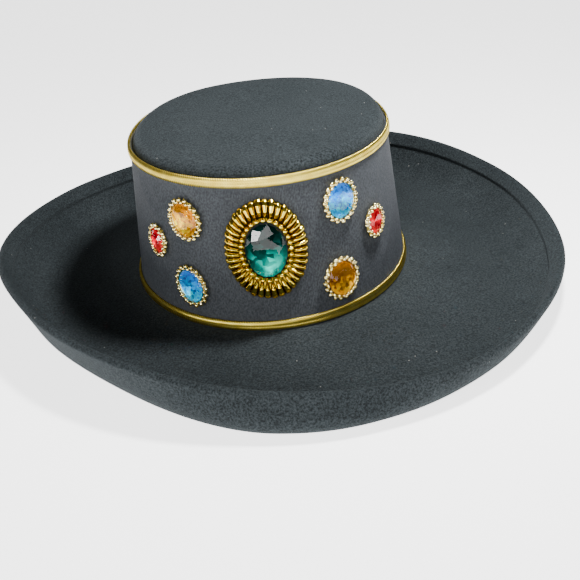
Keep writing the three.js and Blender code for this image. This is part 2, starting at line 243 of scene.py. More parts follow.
def crown_rows(angle):
    """The crown's middle surface from the top's centre to its foot."""
    radius = SHOULDER_RADIUS - HALF_WALL
    highest = CROWN_HEIGHT - HALF_WALL
    top = highest - CROWN_DOME + CROWN_TOP_RISE * np.cos(angle)
    centre = np.array([CROWN_LEAN[0], CROWN_LEAN[1], 0.0])
    edge = crown_point(angle, top, -HALF_WALL - radius)
    rows = []
    for share in np.linspace(0, 1, 12)[:-1] ** 0.8:
        row = mix(centre, edge, share)
        row[..., 2] = mix(highest, top, share) + CROWN_DOME * (share - share ** 2)
        rows.append(row)
    for turn in np.radians(np.linspace(90, 0, 8)):
        level = top - radius + radius * np.sin(turn)
        rows.append(crown_point(angle, level, -HALF_WALL - radius * (1 - np.cos(turn))))
    for share in np.linspace(1, 0, 10)[1:-1]:
        rows.append(crown_point(angle, mix(CROWN_FOOT_RADIUS, top - radius, share), -HALF_WALL))
    for turn in np.radians(np.linspace(0, 90, 6)):
        level = CROWN_FOOT_RADIUS * (1 - np.sin(turn)) - HALF_WALL
        row = crown_point(angle, max(level, 0.0), -HALF_WALL + CROWN_FOOT_RADIUS * (1 - np.cos(turn)))
        row[..., 2] = level
        rows.append(row)
    return rows


def brim_rows(angle):
    """The brim's middle surface from the crown's foot to the rim, with each row's share of the folded hem."""
    start = crown_point(angle, 0.0, CROWN_FOOT_RADIUS - HALF_WALL)
    start[..., 2] = -HALF_WALL
    rim = rim_point(angle)
    way = rim[:, :2] - start[:, :2]
    span = np.linalg.norm(way, axis=1, keepdims=True)
    way = way / span
    low = -BRIM_DIP

    def at(reach, height):
        return np.hstack([start[:, :2] + way * reach, np.full_like(span, height)])

    corner = span * section_value("corner", angle)[:, None]
    turn = corner - BEND_LENGTH
    corner_point = at(corner, low)
    wall = np.linalg.norm(rim - corner_point, axis=1, keepdims=True)
    bend_end = mix(corner_point, rim, BEND_LENGTH / wall)
    slope = [start, at(turn * 0.35, mix(-HALF_WALL, low, 0.55)), at(turn * 0.75, low), at(turn - REST_WIDTH, low)]
    rows = [(curve_point(slope, share), 0.0) for share in np.linspace(0, 1, 16)[1:]]
    bend = [at(turn, low), corner_point, bend_end]
    path = [curve_point(bend, share) for share in np.linspace(0, 1, 33)] + [rim]
    path = np.array(path)
    reach = np.concatenate([np.zeros((1, len(angle))), np.linalg.norm(np.diff(path, axis=0), axis=2).cumsum(axis=0)])

    def along_path(distance):
        columns = [
            [np.interp(distance[i], reach[:, i], path[:, i, axis]) for i in range(len(angle))] for axis in range(3)
        ]
        return np.array(columns).T

    hem_start = reach[-1] - HEM_WIDTH
    rows += [(along_path(hem_start * share), 0.0) for share in np.linspace(0, 1, 18)]
    for share in (0.2, 0.4, 0.6, 0.8, 1.0):
        rows.append((along_path(hem_start + HEM_STEP * share), (1 - math.cos(share * math.pi)) / 2))
    rows += [(along_path(mix(hem_start + HEM_STEP, reach[-1], share)), 1.0) for share in np.linspace(0, 1, 8)[1:]]
    return rows


# %% The felt's two faces
felt_top = crown_rows(felt_angles)
felt_brim = brim_rows(felt_angles)
felt_middle = np.array([np.broadcast_to(row, (AROUND_FELT, 3)) for row in felt_top + [row for row, _ in felt_brim]])
felt_hem = np.array([0.0] * len(felt_top) + [hem for _, hem in felt_brim])[:, None, None]
ROWS_OF_FLAT = 16
rest_row = len(felt_top) + ROWS_OF_FLAT - 2


def surface_normals(rows):
    """Normals of a closed set of rows, from the points beside each point."""
    along = np.gradient(rows, axis=0)
    across = np.roll(rows, -1, axis=1) - np.roll(rows, 1, axis=1)
    normal = np.cross(along, across)
    length = np.linalg.norm(normal, axis=2, keepdims=True)
    return np.where(length > 1e-9, normal / np.maximum(length, 1e-9), (0.0, 0.0, 1.0))


felt_normal = surface_normals(felt_middle)
felt_normal[0] = (0.0, 0.0, 1.0)
felt_normal[rest_row:rest_row + 2] = (0.0, 0.0, 1.0)

# Soft unevenness: none under the ribbon and where the brim rests, most on the top and the outer brim.
top_rows = 14
soft_weight = np.zeros(len(felt_middle))
soft_weight[:top_rows] = np.linspace(1, 0, top_rows) ** 0.5
brim_start = len(felt_top)
soft_weight[brim_start:] = np.clip((np.arange(len(felt_middle) - brim_start) - 2) / 12, 0, 1)
WAVE_LENGTH = 46.0
WAVE_HEIGHT = 0.55
waves = np.array([
    [noise.noise(Vector(point) / WAVE_LENGTH) for point in row] if weight > 0 else [0.0] * AROUND_FELT
    for row, weight in zip(felt_middle, soft_weight)
])
felt_middle = felt_middle + felt_normal * (waves * soft_weight[:, None] * WAVE_HEIGHT)[..., None]

upper_face = felt_middle + felt_normal * (HALF_WALL + HEM_FOLD * felt_hem)
under_face = felt_middle - felt_normal * HALF_WALL
rim_along = felt_middle[-1] - felt_middle[-2]
rim_along /= np.linalg.norm(rim_along, axis=1, keepdims=True)
rim_middle = felt_middle[-1] + felt_normal[-1] * HEM_FOLD / 2
rim_radius = (FELT_WALL + HEM_FOLD) / 2
rim_rows = [
    rim_middle + (felt_normal[-1] * math.cos(turn) + rim_along * math.sin(turn)) * rim_radius
    for turn in np.radians(np.linspace(0, 180, 9)[1:-1])
]
felt_table = np.concatenate([upper_face, np.array(rim_rows), under_face[::-1]])
# The felt flattens a little where it rests.
felt_table[..., 2] = np.maximum(felt_table[..., 2], -foot[2])

felt_body = put_on_hat(wrap_grid(felt_table, closed=False), "felt", ["felt_body"])

# %% [markdown]
# Ribbon
#
# A wide grosgrain ribbon is drawn tight round the crown. Its ribs are thick cross threads, about a millimetre
# apart, that run up and down. They are real relief here, four points to a rib, and so are the few slack
# folds at the front left, where the ribbon was pulled round the crown's curve.

# %% The ribbon
RIBS = 560
POINTS_PER_RIB = 4
RIB_HEIGHT = 0.15
RIBBON_ROWS = 26
ribbon_angles = around(RIBS * POINTS_PER_RIB)
# Slack folds: where each starts and ends, as degrees round from the front and height above the brim, its
# half width and how far it stands out.
RIBBON_FOLDS = [
    {"from": (-64, 80), "to": (-40, 46), "half_width": 2.4, "height": 1.0},
    {"from": (-56, 84), "to": (-36, 60), "half_width": 2.0, "height": 0.6},
    {"from": (-50, 40), "to": (-36, 10), "half_width": 2.4, "height": 0.9},
    {"from": (-43, 30), "to": (-30, 6), "half_width": 2.0, "height": 0.5},
    {"from": (-20, 20), "to": (-8, 8), "half_width": 2.2, "height": 0.35},
    {"from": (58, 76), "to": (50, 52), "half_width": 2.4, "height": 0.6},
    {"from": (64, 40), "to": (52, 16), "half_width": 2.4, "height": 0.55},
    {"from": (128, 70), "to": (142, 44), "half_width": 2.6, "height": 0.6},
    {"from": (-146, 60), "to": (-132, 30), "half_width": 2.6, "height": 0.6},
]
DEGREE_LENGTH = 1.65


def fold_relief(angle, level):
    """How far the slack folds lift the ribbon, in mm."""
    degrees = (np.degrees(angle) + 90 + 180) % 360 - 180
    relief = np.zeros(np.broadcast(degrees, level).shape)
    for fold in RIBBON_FOLDS:
        start = np.array([fold["from"][0] * DEGREE_LENGTH, fold["from"][1]])
        end = np.array([fold["to"][0] * DEGREE_LENGTH, fold["to"][1]])
        way = (end - start) / np.linalg.norm(end - start)
        across = degrees * DEGREE_LENGTH - start[0], level - start[1]
        along = (across[0] * way[0] + across[1] * way[1]) / np.linalg.norm(end - start)
        aside = across[0] * way[1] - across[1] * way[0]
        ends = np.clip(1 - np.abs(2 * along - 1) ** 4, 0, 1)
        relief += fold["height"] * ends * np.exp(-(aside / fold["half_width"]) ** 2)
    return relief


ribbon_rows = [crown_point(ribbon_angles, RIBBON_START, FIT_GAP)]
rib_wave = np.abs(np.cos(np.arange(RIBS * POINTS_PER_RIB) * np.pi / POINTS_PER_RIB)) ** 0.8
for share in np.linspace(0, 1, RIBBON_ROWS):
    level = mix(RIBBON_START, RIBBON_TOP, share)
    tight = min(1.0, 8 * share, 8 * (1 - share))
    relief = RIB_HEIGHT * (rib_wave - 1) + tight * fold_relief(ribbon_angles, level)
    ribbon_rows.append(crown_point(ribbon_angles, level, RIBBON_FACE + relief))
ribbon_rows.append(crown_point(ribbon_angles, RIBBON_TOP, FIT_GAP))
ribbon = put_on_hat(wrap_grid(np.array(ribbon_rows), closed=True), "ribbon", ["hat_band"])

# %% [markdown]
# Gold braids
#
# Each edge of the ribbon is covered by a flat braid of gold thread. Its strands cross in a herringbone: two
# lanes of short slanted stitches that meet in a shallow groove. The section is a low half-round, and
# the stitches are pressed into it with a wave that leans one way in each lane.

# %% The braids
STITCHES = 370
POINTS_PER_STITCH = 6
STITCH_RELIEF = 0.6
STITCH_LEAN = 1.4
GROOVE_DEPTH = 0.26
BRAID_ARC = 15


def braid(name, level, phase, node):
    steps = STITCHES * POINTS_PER_STITCH
    angles = around(steps)
    inner = RIBBON_FACE + FIT_GAP
    rows = []
    shades = []
    for turn in np.linspace(-90, 90, BRAID_ARC):
        side = math.sin(math.radians(turn))
        bulge = math.cos(math.radians(turn))
        place = np.arange(steps) / POINTS_PER_STITCH + phase + STITCH_LEAN * abs(side)
        strand = np.sin(np.pi * (place % 1))
        groove = math.exp(-(side / 0.1) ** 2)
        depth = bulge ** 0.7 * (BRAID_DEPTH - GROOVE_DEPTH * groove) - STITCH_RELIEF * (1 - strand) * bulge ** 0.3
        height = BRAID_HEIGHT / 2 * side * (1 - 0.16 * (1 - strand))
        rows.append(crown_point(angles, level + height, inner + np.maximum(depth, 0.0)))
        # Painted shade for the gold: darkest between stitches towards the edges, and in the middle groove.
        shades.append(np.maximum((1 - strand) * (0.55 + 0.45 * abs(side)), 0.4 * groove))
    bm = wrap_grid(np.array(rows), closed=True, shade=np.array(shades))
    return put_on_hat(bm, name, [node])


upper_braid = braid("upper_braid", UPPER_BRAID_LEVEL, 0.0, "upper_trim")
lower_braid = braid("lower_braid", LOWER_BRAID_LEVEL, 0.4, "lower_trim")

# %% [markdown]
# Where the ornaments sit
#
# A jeweller bends a setting to the curve that it is sewn onto, but a stone stays flat. Each ornament has a seat
# on the ribbon with directions to the right, up and out. A setting's points follow the ribbon round, and a
# stone's points stay in one flat frame.

# %% Seats
# around is in degrees from the front, level is over the brim, and glow is the side where the stone's foil is
# painted brighter as painted light, in degrees from its right. The crown's side leans back, and the big stone
# leans forward to stand upright.
CENTRE = {"around": 0.5, "level": 48.6, "tilt": 0, "size": (46, 58), "glow": -62, "girdle": 3.4, "lean": 5.5}
SMALL_GIRDLE = 2.4
SMALL = {
    "left_upper": {"around": -31, "level": 63.8, "tilt": 20, "size": (22.5, 25), "stone": "orange", "glow": -140},
    "left_outer": {"around": -47.3, "level": 45.8, "tilt": 14, "size": (17, 20), "stone": "red", "glow": -100},
    "left_lower": {"around": -31, "level": 24.3, "tilt": 22, "size": (22, 25), "stone": "blue", "glow": -110},
    "right_upper": {"around": 31.8, "level": 67.6, "tilt": -16, "size": (23.5, 25.5), "stone": "blue", "glow": -110},
    "right_outer": {"around": 48.5, "level": 46.4, "tilt": -14, "size": (18.5, 20), "stone": "red", "glow": -100},
    "right_lower": {"around": 28.2, "level": 23.2, "tilt": -8, "size": (24, 25.5), "stone": "amber", "glow": -90},
}
for ornament in SMALL.values():
    ornament.update({"girdle": SMALL_GIRDLE, "lean": 0.0})


def unit(vector):
    return vector / np.linalg.norm(vector)


def seat_of(ornament):
    """Two ways to place what sits on a seat: bent round the ribbon, or flat and leaning forward with the stone."""
    angle = math.radians(ornament["around"] - 90)
    level = ornament["level"]
    nearby = 0.001
    origin = crown_point(angle, level, RIBBON_FACE)
    step = crown_point(angle + nearby, level, RIBBON_FACE) - crown_point(angle - nearby, level, RIBBON_FACE)
    speed = np.linalg.norm(step) / (2 * nearby)
    right = unit(step)
    up = unit(crown_point(angle, level + 1, RIBBON_FACE) - origin)
    out = unit(np.cross(right, up))
    tilt = math.radians(ornament["tilt"])

    def turned(x, y):
        return x * math.cos(tilt) - y * math.sin(tilt), x * math.sin(tilt) + y * math.cos(tilt)

    def bent(x, y, rise):
        across, above = turned(np.asarray(x, float), np.asarray(y, float))
        height = level + above * up[2]
        point = crown_point(angle + across / speed, height, RIBBON_FACE + FIT_GAP + np.asarray(rise) * up[2])
        point[..., 2] = height + np.asarray(rise) * out[2]
        return point

    lean = math.radians(ornament["lean"])
    stone_up = up * math.cos(lean) + out * math.sin(lean)
    stone_out = out * math.cos(lean) - up * math.sin(lean)
    pivot = origin + out * (FIT_GAP + ornament["girdle"])

    def flat(x, y, rise):
        across, above = turned(x, y)
        return pivot + right * across + stone_up * above + stone_out * (rise - ornament["girdle"])

    return bent, flat


# %% [markdown]
# Beads
#
# The settings are edged with little gold beads. Each is a small sphere with only a few dozen faces, because
# there are over two hundred of them. They are joined into the piece that they belong to.

# %% Beads
def add_bead(bm, centre, radius, stretch=1.0):
    """One bead with 10 segments, a little longer upwards when stretched."""
    made = bmesh.ops.create_uvsphere(bm, u_segments=10, v_segments=6, radius=radius)
    bmesh.ops.scale(bm, vec=(1, 1, stretch), verts=made["verts"])
    bmesh.ops.translate(bm, vec=tuple(centre), verts=made["verts"])


def even_turns(count, half_width, half_height, start=0.0):
    """Angles that are evenly spaced along an oval's outline."""
    fine = np.linspace(0, 2 * np.pi, 721)
    points = np.stack([half_width * np.cos(fine), half_height * np.sin(fine)], axis=1)
    length = np.concatenate([[0], np.linalg.norm(np.diff(points, axis=0), axis=1).cumsum()])
    return np.interp((np.arange(count) + start) / count * length[-1], length, fine)


# %% [markdown]
# Cut stones
#
# The stones are oval and brilliant cut: a flat table, eight star facets, eight kites and a row of small facets down
# to the girdle, with a pointed foil-backed pavilion behind. A hull stretched over the facets' corners gives
# exactly these planes, because a cut stone is convex. The corners are worked out from the table's share.

# %% Stones
def cut_stone(flat, half_width, half_height, base, cut):
    """A brilliant cut oval. base is the girdle's height over the ribbon, cut holds its shares and heights."""
    count = cut["mains"]
    table, star, crown = cut["table"], cut["star"], cut["crown"]
    half_step = math.pi / count
    star_rise = crown * (1 - (star * math.cos(half_step) - table) / (1 - table))
    rings = [
        (table, base + crown, 0.0, count),
        (star, base + star_rise, 0.5, count),
        (1.0, base, 0.0, 2 * count),
        (1.0, base - cut["girdle"], 0.0, 2 * count),
        (0.55, base - cut["girdle"] - cut["pavilion"] * 0.5, 0.0, count),
        (0.1, base - cut["girdle"] - cut["pavilion"], 0.0, count),
    ]
    bm = bmesh.new()
    for share, rise, shift, sides in rings:
        for side in range(sides):
            turn = 2 * math.pi * (side + shift) / sides + math.radians(cut["turn"])
            bm.verts.new(flat(share * half_width * math.cos(turn), share * half_height * math.sin(turn), rise))
    made = bmesh.ops.convex_hull(bm, input=bm.verts)
    inside = [part for part in made["geom_interior"] if isinstance(part, bmesh.types.BMVert)]
    bmesh.ops.delete(bm, geom=inside, context="VERTS")
    bmesh.ops.dissolve_limit(bm, angle_limit=math.radians(1.2), verts=bm.verts, edges=bm.edges)
    bmesh.ops.recalc_face_normals(bm, faces=bm.faces)
    bmesh.ops.bevel(
        bm, geom=bm.edges, offset=0.05, offset_type="OFFSET", affect="EDGES", segments=1, profile=0.5, material=-1
    )
    return bm


def paint_foil(piece, flat, base, reach, glow_turn):
    """Gives the faces behind the girdle the second material, the foil, and marks the side of its painted light."""
    centre = (flat(0, 0, base) + foot) * MM
    out = unit(flat(0, 0, base + 1) - flat(0, 0, base))
    for polygon in piece.data.polygons:
        behind = (np.array(polygon.center) - centre) @ out < -0.0001
        polygon.material_index = 1 if behind else 0
    # The glow share runs from 0 on the far side to 1 on the side where the foil is painted brightest.
    turn = math.radians(glow_turn)
    towards = unit(flat(math.cos(turn), math.sin(turn), base) - flat(0, 0, base))
    points = np.array([vertex.co for vertex in piece.data.vertices])
    share = 0.5 + (points - centre) @ towards / (2 * reach * MM)
    piece.data.attributes.new("glow", "FLOAT", "POINT").data.foreach_set("value", share.astype(np.float32))


# %% The stones' places
stones = {}
STONE_INSET = 2.9
SMALL_CUT = {"mains": 8, "table": 0.56, "star": 0.8, "crown": 1.9, "girdle": 0.35, "pavilion": 1.7, "turn": 12}
for name, ornament in SMALL.items():
    bent, flat = seat_of(ornament)
    half_width, half_height = (size / 2 - STONE_INSET for size in ornament["size"])
    bm = cut_stone(flat, half_width, half_height, SMALL_GIRDLE, SMALL_CUT)
    stones[name] = put_on_hat(bm, name + "_gem", [name + "_stone"], smooth=False)
    paint_foil(stones[name], flat, SMALL_GIRDLE - SMALL_CUT["girdle"] / 2, half_height, ornament["glow"])

CENTRE_STONE = (23, 32)
CENTRE_CUT = {"mains": 8, "table": 0.58, "star": 0.8, "crown": 3.3, "girdle": 0.5, "pavilion": 2.6, "turn": -11.25}
centre_bent, centre_flat = seat_of(CENTRE)
bm = cut_stone(centre_flat, CENTRE_STONE[0] / 2, CENTRE_STONE[1] / 2, CENTRE["girdle"], CENTRE_CUT)
stones["centre"] = put_on_hat(bm, "centre_gem", ["centre_stone"], smooth=False)
foil_edge = CENTRE["girdle"] - CENTRE_CUT["girdle"] / 2
paint_foil(stones["centre"], centre_flat, foil_edge, CENTRE_STONE[1] / 2, CENTRE["glow"])

# %% [markdown]
# The centre setting
#
# The brooch has a dished ring of forty gold petals. Each petal is a long rounded flute that starts narrow by the
# stone, swells and ends in a round tip. A ring spun with many points and lifted into flutes makes them
# all in one solid casting, as the real one is, and the beads round the stone are added to it.

# %% The centre setting
FLUTES = 40
POINTS_PER_FLUTE = 16
BEAD_RING = 2.6
flute_steps = FLUTES * POINTS_PER_FLUTE


def centre_reach(share):
    """Half sizes of an oval between the bead ring's outside, 0, and the setting's outer edge, 1."""
    start = BEAD_RING + FIT_GAP
    return tuple(mix(CENTRE_STONE[i] / 2 + start, CENTRE["size"][i] / 2, share) for i in (0, 1))


# The petals between the bead ring, 0, and the outer edge, 1: how high their backs stand, how deep the gaps
# between them are, and how much of its share of the ring each petal fills.
PETAL_SECTIONS = {
    "share": (0.0, 0.12, 0.38, 0.75, 0.92, 1.0),
    "height": (2.4, 3.9, 5.1, 4.3, 2.9, 1.5),
    "gap": (1.2, 2.3, 2.8, 2.3, 1.6, 0.8),
    "fill": (0.5, 0.66, 0.88, 0.96, 1.0, 1.0),
}


def petal_section(column, share):
    return float(np.interp(share, PETAL_SECTIONS["share"], PETAL_SECTIONS[column]))


def centre_setting_table():
    """Rings from the setting's back, round its scalloped edge, over the petals and down to the stone."""
    inner = tuple(size / 2 + FIT_GAP for size in CENTRE_STONE)
    turns = even_turns(flute_steps, *centre_reach(0.5))
    place = np.abs(((np.arange(flute_steps) / POINTS_PER_FLUTE) % 1) * 2 - 1)
    rng = np.random.default_rng(4)
    uneven = np.repeat(rng.uniform(-1, 1, FLUTES), POINTS_PER_FLUTE)
    level = np.ones(flute_steps)
    rings = []
    shades = []

    # shade is painted shade for the gold: full on the back, the outer edge and the floor under the beads, and deep
    # between the petals.
    def add(half, rise, grow=0.0, shade=1.0):
        rings.append(centre_bent((half[0] + grow) * np.cos(turns), (half[1] + grow) * np.sin(turns), rise * level))
        shades.append(shade * level)

    add(inner, 0.0)
    add(centre_reach(0.93), 0.0)
    add(centre_reach(0.96), 0.35)
    for share in np.linspace(1, 0, 34):
        petal = np.sqrt(np.clip(1 - (place / petal_section("fill", share)) ** 2, 0, 1))
        rise = petal_section("height", share) - petal_section("gap", share) * (1 - petal) + 0.2 * uneven * share
        tip = max(0.0, (share - 0.86) / 0.14)
        grow = tip * (0.9 * petal - 0.7 + 0.35 * uneven)
        add(centre_reach(share * 0.985), np.maximum(rise, 0.4), grow, (1 - petal) ** 0.7)
    add(tuple(size - 0.4 for size in centre_reach(0.0)), 1.8)
    add(inner, 1.8)
    return np.array(rings), np.array(shades)


centre_rings, centre_shades = centre_setting_table()
bm = wrap_grid(centre_rings, closed=True, shade=centre_shades)
CENTRE_BEADS = 28
bead_line = tuple(size / 2 + FIT_GAP + BEAD_RING / 2 for size in CENTRE_STONE)
for turn in even_turns(CENTRE_BEADS, *bead_line):
    spot = centre_bent(bead_line[0] * math.cos(turn), bead_line[1] * math.sin(turn), 3.4)
    add_bead(bm, spot, 1.45)
centre_setting = put_on_hat(bm, "centre_setting_gold", ["centre_setting"], sharp_degrees=50)

# %% [markdown]
# The small settings
#
# Each small stone sits in a cup edged with a double row of beads, an outer one and a higher one that leans in over
# the stone. The cup is a ring wrapped onto its seat. The beads are set evenly along the oval, and those of one
# row sit between those of the other.

# %% The small settings
BEAD_PITCH = 3.8
BEAD_ROWS = [
    {"inset": 0.8, "rise": 2.2, "radius": 1.36, "start": 0.0},
    {"inset": 1.95, "rise": 3.1, "radius": 1.02, "start": 0.5},
]
rng = np.random.default_rng(7)


def small_setting(name, ornament):
    bent, flat = seat_of(ornament)
    half = tuple(size / 2 for size in ornament["size"])

    def oval(inset, rise, steps=64):
        turns = even_turns(steps, half[0] - inset, half[1] - inset)
        return bent((half[0] - inset) * np.cos(turns), (half[1] - inset) * np.sin(turns), np.full(steps, rise))

    section = [(2.8, 0.0), (1.9, 0.0), (1.3, 0.4), (1.4, 1.2), (1.8, 1.8), (2.4, 2.2), (2.6, 2.5), (2.8, 2.3)]
    bm = wrap_grid(np.array([oval(*station) for station in section]), closed=True)
    count = round(math.pi * (sum(half) - 2 * BEAD_ROWS[0]["inset"]) / BEAD_PITCH)
    for row in BEAD_ROWS:
        line = (half[0] - row["inset"], half[1] - row["inset"])
        for turn in even_turns(count, *line, start=row["start"]):
            reach = rng.uniform(-0.12, 0.12)
            rise = row["rise"] + rng.uniform(-0.1, 0.1)
            spot = bent((line[0] + reach) * math.cos(turn), (line[1] + reach) * math.sin(turn), rise)
            add_bead(bm, spot, row["radius"] + rng.uniform(-0.05, 0.05))
    return put_on_hat(bm, name + "_beads", [name + "_setting"], sharp_degrees=50)


small_settings = {name: small_setting(name, ornament) for name, ornament in SMALL.items()}

# %% [markdown]
# Building materials
#
# Each finish is a node material. Two short helpers keep the node code readable: one starts a material, the other
# adds a node and plugs in its inputs, whether they are plain numbers or outputs of other nodes.

# %% Helpers for materials
def new_material(name, **values):
    material = bpy.data.materials.new(name)
    material.use_nodes = True
    shader = material.node_tree.nodes["Principled BSDF"]
    for socket, value in values.items():
        shader.inputs[socket.replace("_", " ").title().replace("Ior", "IOR")].default_value = value
    return material.node_tree, shader, material


def add_node(tree, kind, inputs=None, **settings):
    made = tree.nodes.new("ShaderNode" + kind)
    for name, value in settings.items():
        setattr(made, name, value)
    for socket, value in (inputs or {}).items():
        if isinstance(value, bpy.types.NodeSocket):
            tree.links.new(value, made.inputs[socket])
        else:
            made.inputs[socket].default_value = value
    return made


def ramp(tree, value, stops):
    """Colours over a value. stops is a list of (position, colour)."""
    made = add_node(tree, "ValToRGB", {"Fac": value})
    elements = made.color_ramp.elements
    while len(elements) < len(stops):
        elements.new(1.0)
    for element, (position, colour) in zip(elements, stops):
        element.position = position
        element.color = (*colour, 1.0)
    return made.outputs["Color"]


def dress(piece, *materials):
    for material in materials:
        piece.data.materials.append(material)


# %% [markdown]
# Felt
#
# Wool felt is a mat of short crimped fibres. Light catches the fibres that stand up, so the cloth is paler at
# grazing angles, which sheen gives. Three noises make the mat: a fine one for fibres, another fine one for the
# bump, and a broad one for the worn, blue-grey patches. A few pale specks are lint caught in the mat.

# %% Felt material
tree, shader, felt_material = new_material(
    "black_felt", roughness=0.95, specular_ior_level=0.08, sheen_weight=0.05, sheen_roughness=0.5,
    sheen_tint=(0.75, 0.85, 0.9, 1.0),
)
place = add_node(tree, "TexCoord").outputs["Object"]
fibres = add_node(tree, "TexNoise", {"Vector": place, "Scale": 900.0, "Detail": 4.0, "Roughness": 0.75})
mat = add_node(tree, "TexNoise", {"Vector": place, "Scale": 360.0, "Detail": 4.0, "Roughness": 0.65})
patches = add_node(tree, "TexNoise", {"Vector": place, "Scale": 16.0, "Detail": 5.0, "Roughness": 0.6})
base = ramp(tree, patches.outputs["Fac"], [(0.3, (0.0145, 0.0182, 0.0198)), (0.7, (0.0215, 0.0262, 0.0282))])
fibre_tone = ramp(tree, fibres.outputs["Fac"], [(0.4, (0.45, 0.45, 0.45)), (0.62, (1.7, 1.7, 1.7))])
toned = add_node(tree, "MixRGB", {"Fac": 1.0, "Color1": base, "Color2": fibre_tone}, blend_type="MULTIPLY")
specks = add_node(tree, "TexVoronoi", {"Vector": place, "Scale": 260.0}, feature="F1")
speck_mask = ramp(tree, specks.outputs["Distance"], [(0.08, (1, 1, 1)), (0.12, (0, 0, 0))])
chosen = add_node(tree, "Math", {0: specks.outputs["Color"], 1: 0.88}, operation="GREATER_THAN")
speck_fac = add_node(tree, "Math", {0: speck_mask, 1: chosen.outputs[0]}, operation="MULTIPLY")
lint = add_node(tree, "MixRGB", {"Fac": speck_fac.outputs[0], "Color1": toned.outputs[0], "Color2": (0.2, 0.2, 0.19, 1)})
tree.links.new(lint.outputs[0], shader.inputs["Base Color"])
height = add_node(tree, "MixRGB", {"Fac": 0.5, "Color1": fibres.outputs["Fac"], "Color2": mat.outputs["Fac"]})
bump = add_node(tree, "Bump", {"Height": height.outputs[0], "Strength": 0.7, "Distance": 0.0014})
tree.links.new(bump.outputs[0], shader.inputs["Normal"])
dress(felt_body, felt_material)

# %% [markdown]
# Ribbon cloth
#
# The ribbon is a dull slate blue with a soft sheen. Its threads differ a little, so thin streaks run up and
# down it. The streaks follow the angle round the crown, which a stretched noise in object space gives well.

# %% Ribbon material
tree, shader, ribbon_material = new_material(
    "slate_ribbon", roughness=0.6, specular_ior_level=0.12, sheen_weight=0.03, sheen_roughness=0.4,
    sheen_tint=(0.75, 0.8, 0.95, 1.0),
)
place = add_node(tree, "TexCoord").outputs["Object"]
tall = add_node(tree, "Mapping", {"Vector": place, "Scale": (1.0, 1.0, 0.7)}).outputs[0]
streaks = add_node(tree, "TexNoise", {"Vector": tall, "Scale": 1100.0, "Detail": 2.0})
clouds = add_node(tree, "TexNoise", {"Vector": place, "Scale": 30.0, "Detail": 4.0})
weft = add_node(tree, "TexWave", {"Vector": place, "Scale": 620.0, "Distortion": 0.6}, bands_direction="Z")
base = ramp(tree, clouds.outputs["Fac"], [(0.3, (0.036, 0.04, 0.045)), (0.7, (0.048, 0.053, 0.059))])
tone = ramp(tree, streaks.outputs["Fac"], [(0.35, (0.7, 0.7, 0.7)), (0.65, (1.3, 1.3, 1.3))])
toned = add_node(tree, "MixRGB", {"Fac": 1.0, "Color1": base, "Color2": tone}, blend_type="MULTIPLY")
tree.links.new(toned.outputs[0], shader.inputs["Base Color"])
bump = add_node(tree, "Bump", {"Height": weft.outputs["Fac"], "Strength": 0.35, "Distance": 0.0002})
tree.links.new(bump.outputs[0], shader.inputs["Normal"])
dress(ribbon, ribbon_material)

# %% [markdown]
# Gold
#
# Three golds: the braid's metal thread, the polished petals and the paler beads. Each is a metal whose colour
# and gloss change a little over the surface, and which is painted darker deep in its gaps, as painted shade.
# One node group mixes the two tones and gives a roughness, and each material uses it with its own values.

# %% Gold materials
def make_gilding_group():
    group = bpy.data.node_groups.new("gilding", "ShaderNodeTree")
    for name, kind in (("Bright", "NodeSocketColor"), ("Deep", "NodeSocketColor"), ("Scale", "NodeSocketFloat"),
                       ("Gloss", "NodeSocketFloat")):
        group.interface.new_socket(name, in_out="INPUT", socket_type=kind)
    group.interface.new_socket("Color", in_out="OUTPUT", socket_type="NodeSocketColor")
    group.interface.new_socket("Roughness", in_out="OUTPUT", socket_type="NodeSocketFloat")
    start = group.nodes.new("NodeGroupInput")
    end = group.nodes.new("NodeGroupOutput")
    place = add_node(group, "TexCoord").outputs["Object"]
    cloud = add_node(group, "TexNoise", {"Vector": place, "Scale": start.outputs["Scale"], "Detail": 4.0})
    share = ramp(group, cloud.outputs["Fac"], [(0.38, (0, 0, 0)), (0.62, (1, 1, 1))])
    mixed = add_node(group, "MixRGB", {
        "Fac": share, "Color1": start.outputs["Deep"], "Color2": start.outputs["Bright"]})
    spread = add_node(group, "MapRange", {0: cloud.outputs["Fac"], 3: 1.25, 4: 0.75})
    rough = add_node(group, "Math", {0: start.outputs["Gloss"], 1: spread.outputs[0]}, operation="MULTIPLY")
    group.links.new(mixed.outputs[0], end.inputs["Color"])
    group.links.new(rough.outputs[0], end.inputs["Roughness"])
    return group


gilding = make_gilding_group()


def gold_material(name, bright, deep, scale, gloss, grain):
    tree, shader, material = new_material(name, metallic=1.0)
    made = add_node(tree, "Group", node_tree=gilding)
    for socket, value in (("Bright", (*bright, 1)), ("Deep", (*deep, 1)), ("Scale", scale), ("Gloss", gloss)):
        made.inputs[socket].default_value = value
    # Painted shade: the shade attribute mixes the gold towards a dark gold deep between stitches and petals.
    depth = add_node(tree, "Attribute", attribute_name="shade").outputs["Fac"]
    painted_gap_shade = tuple(value * 0.16 for value in deep) + (1,)
    darkened = add_node(tree, "MixRGB", {"Fac": depth, "Color1": made.outputs["Color"], "Color2": painted_gap_shade})
    tree.links.new(darkened.outputs[0], shader.inputs["Base Color"])
    tree.links.new(made.outputs["Roughness"], shader.inputs["Roughness"])
    place = add_node(tree, "TexCoord").outputs["Object"]
    fine = add_node(tree, "TexNoise", {"Vector": place, "Scale": 2600.0, "Detail": 2.0})
    bump = add_node(tree, "Bump", {"Height": fine.outputs["Fac"], "Strength": grain, "Distance": 0.0001})
    tree.links.new(bump.outputs[0], shader.inputs["Normal"])
    return material


